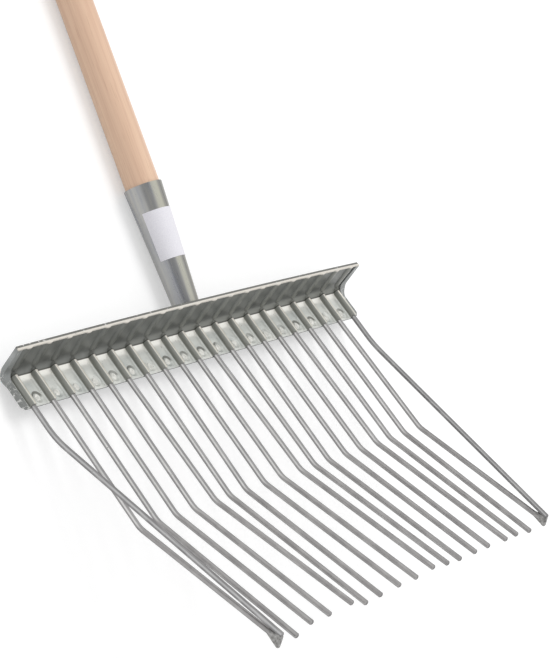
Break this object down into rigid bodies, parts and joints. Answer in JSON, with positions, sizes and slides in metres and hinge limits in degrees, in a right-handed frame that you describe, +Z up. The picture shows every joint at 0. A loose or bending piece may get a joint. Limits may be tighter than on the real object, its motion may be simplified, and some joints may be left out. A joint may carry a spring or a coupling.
{
  "type": "stable fork",
  "caption": "Bedding fork with a comb of bent wire tines in a ribbed two-sheet crosspiece, guard wires at both ends, a welded conical socket and a long wooden handle.",
  "frame": {"origin": "middle of the bounding box in X and Y, on the surface that the fork lies on", "axes": "+Y along the handle from the tines to its free end; +Z up, out of the hollow side of the comb; +X to the right"},
  "size_m": [0.442, 1.609, 0.1437],
  "materials": {
    "handle_wood": "smooth turned ash, waxed",
    "socket_steel": "dull galvanised, with a fine vertical grain",
    "screw_steel": "plain zinc-plated",
    "weld_metal": "rough, bright as-welded metal",
    "plate_steel": "dull galvanised sheet with soft pressing marks",
    "wire": "drawn galvanised wire",
    "label_paper": "matt, blank"
  },
  "bodies": {
    "root": {"handle": "handle_wood", "socket": "socket_steel", "socket_screw": "screw_steel", "socket_weld": "weld_metal", "front_plate": "plate_steel", "back_plate": "plate_steel", "tine_01": "wire", "tine_02": "wire", "tine_03": "wire", "tine_04": "wire", "tine_05": "wire", "tine_06": "wire", "tine_07": "wire", "tine_08": "wire", "tine_09": "wire", "tine_10": "wire", "tine_11": "wire", "tine_12": "wire", "tine_13": "wire", "tine_14": "wire", "tine_15": "wire", "tine_16": "wire", "tine_17": "wire", "tine_18": "wire", "guard_left": "wire", "guard_right": "wire", "tip_weld_left": "weld_metal", "tip_weld_right": "weld_metal", "spot_welds": "weld_metal", "label": "label_paper"}
  },
  "joints": []
}
